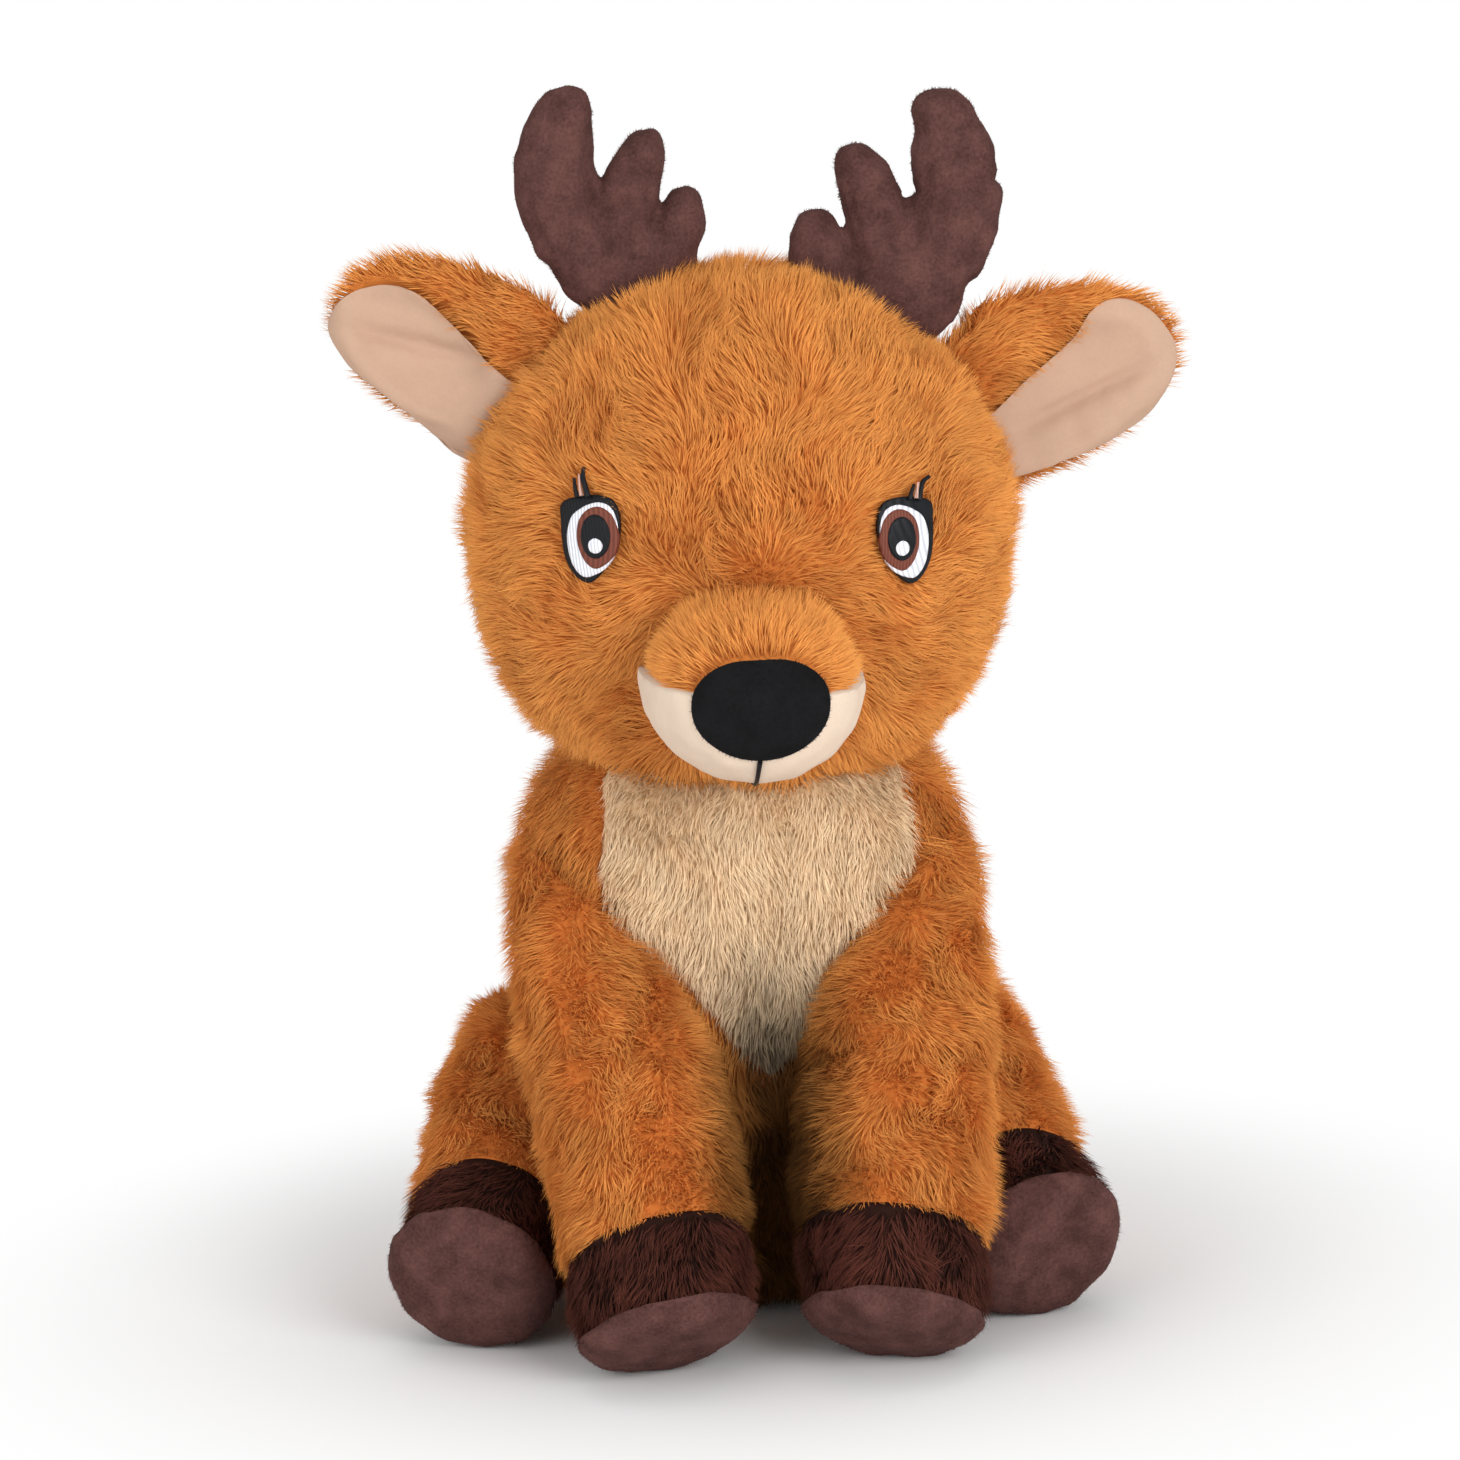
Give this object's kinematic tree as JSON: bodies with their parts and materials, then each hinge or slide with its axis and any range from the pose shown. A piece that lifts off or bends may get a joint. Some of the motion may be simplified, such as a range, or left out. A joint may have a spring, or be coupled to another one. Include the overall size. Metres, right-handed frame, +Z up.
{
  "type": "plush deer",
  "caption": "Sitting plush deer with fur covers, stuffed velour antlers, lined ears, velour soles and an embroidered face; head, ears, antlers, legs and tail flex at their seams.",
  "frame": {"origin": "middle of the flat seat under the trunk, on the surface that the deer sits on", "axes": "+Z up, -Y the way the deer faces, +X its own left"},
  "size_m": [0.2044, 0.1775, 0.2931],
  "materials": {
    "tan_fur": "orange-tan woven plush with a pile of 7 to 9 mm",
    "cream_fur": "cream beige woven plush with a pile of 7 to 9 mm",
    "brown_fur": "dark brown woven plush with a pile of 7 to 9 mm",
    "brown_velour": "brown short-pile velour",
    "cream_velour": "pinkish cream short-pile velour",
    "black_velour": "black short-pile velour",
    "black_thread": "black satin embroidery",
    "white_thread": "white satin embroidery",
    "brown_thread": "red-brown satin embroidery",
    "fibre_fill": "white polyester fibre, hidden",
    "bag_cloth": "plastic pellets in a plain cloth bag, hidden"
  },
  "bodies": {
    "body": {"body_fur": "tan_fur", "chest_panel": "cream_fur", "body_fill": "fibre_fill", "pellet_bag": "bag_cloth"},
    "head": {"head_fur": "tan_fur", "head_fill": "fibre_fill", "muzzle_fur": "tan_fur", "muzzle_chin": "cream_velour", "muzzle_fill": "fibre_fill", "nose": "black_velour", "mouth_stitch": "black_thread", "eye_outline_left": "black_thread", "eye_white_left": "white_thread", "eye_iris_left": "brown_thread", "eye_pupil_left": "black_thread", "eye_glint_left": "white_thread", "eye_outline_right": "black_thread", "eye_white_right": "white_thread", "eye_iris_right": "brown_thread", "eye_pupil_right": "black_thread", "eye_glint_right": "white_thread"},
    "tail": {"tail": "tan_fur"},
    "ear_left": {"ear_fur_left": "tan_fur", "ear_lining_left": "cream_velour"},
    "antler_left": {"antler_left": "brown_velour", "antler_fill_left": "fibre_fill"},
    "front_leg_left": {"front_leg_fur_left": "tan_fur", "front_leg_cuff_left": "brown_fur", "front_leg_sole_left": "brown_velour", "front_leg_fill_left": "fibre_fill"},
    "hind_leg_left": {"hind_leg_fur_left": "tan_fur", "hind_leg_cuff_left": "brown_fur", "hind_leg_sole_left": "brown_velour", "hind_leg_fill_left": "fibre_fill"},
    "ear_right": {"ear_fur_right": "tan_fur", "ear_lining_right": "cream_velour"},
    "antler_right": {"antler_right": "brown_velour", "antler_fill_right": "fibre_fill"},
    "front_leg_right": {"front_leg_fur_right": "tan_fur", "front_leg_cuff_right": "brown_fur", "front_leg_sole_right": "brown_velour", "front_leg_fill_right": "fibre_fill"},
    "hind_leg_right": {"hind_leg_fur_right": "tan_fur", "hind_leg_cuff_right": "brown_fur", "hind_leg_sole_right": "brown_velour", "hind_leg_fill_right": "fibre_fill"}
  },
  "joints": [
    {"name": "head_turn", "type": "hinge", "parent": "body", "child": "head", "pos_m": [0, -0.017, 0.136], "axis": [0.061, 0, 0.9981], "range_deg": [-20, 20], "stiffness_Nm_per_rad": 1},
    {"name": "ear_left_flop", "type": "hinge", "parent": "head", "child": "ear_left", "pos_m": [0.05958, -0.014, 0.21411], "axis": [0.2724, 0.0465, -0.9611], "range_deg": [-20, 20], "stiffness_Nm_per_rad": 0.1},
    {"name": "antler_left_bend", "type": "hinge", "parent": "head", "child": "antler_left", "pos_m": [0.03446, -0.0159, 0.24079], "axis": [1, 0, 0], "range_deg": [-12, 12], "stiffness_Nm_per_rad": 0.15},
    {"name": "ear_right_flop", "type": "hinge", "parent": "head", "child": "ear_right", "pos_m": [-0.05176, -0.014, 0.22833], "axis": [0.4578, -0.0566, 0.8873], "range_deg": [-20, 20], "stiffness_Nm_per_rad": 0.1},
    {"name": "antler_right_bend", "type": "hinge", "parent": "head", "child": "antler_right", "pos_m": [-0.01602, -0.0159, 0.24749], "axis": [0.9997, 0, -0.0262], "range_deg": [-12, 12], "stiffness_Nm_per_rad": 0.15},
    {"name": "front_leg_left_swing", "type": "hinge", "parent": "body", "child": "front_leg_left", "pos_m": [0.045, -0.023, 0.1077], "axis": [-1, 0, 0], "range_deg": [0, 30], "stiffness_Nm_per_rad": 0.5},
    {"name": "front_leg_right_swing", "type": "hinge", "parent": "body", "child": "front_leg_right", "pos_m": [-0.045, -0.023, 0.1077], "axis": [-1, 0, 0], "range_deg": [0, 30], "stiffness_Nm_per_rad": 0.5},
    {"name": "hind_leg_left_splay", "type": "hinge", "parent": "body", "child": "hind_leg_left", "pos_m": [0.046, 0.003, 0.041], "axis": [0, 0, 1], "range_deg": [0, 15], "stiffness_Nm_per_rad": 0.5},
    {"name": "hind_leg_right_splay", "type": "hinge", "parent": "body", "child": "hind_leg_right", "pos_m": [-0.05, 0.003, 0.041], "axis": [0, 0, -1], "range_deg": [0, 15], "stiffness_Nm_per_rad": 0.5},
    {"name": "tail_flick", "type": "hinge", "parent": "body", "child": "tail", "pos_m": [0, 0.05, 0.048], "axis": [1, 0, 0], "range_deg": [-20, 20], "stiffness_Nm_per_rad": 0.05}
  ]
}
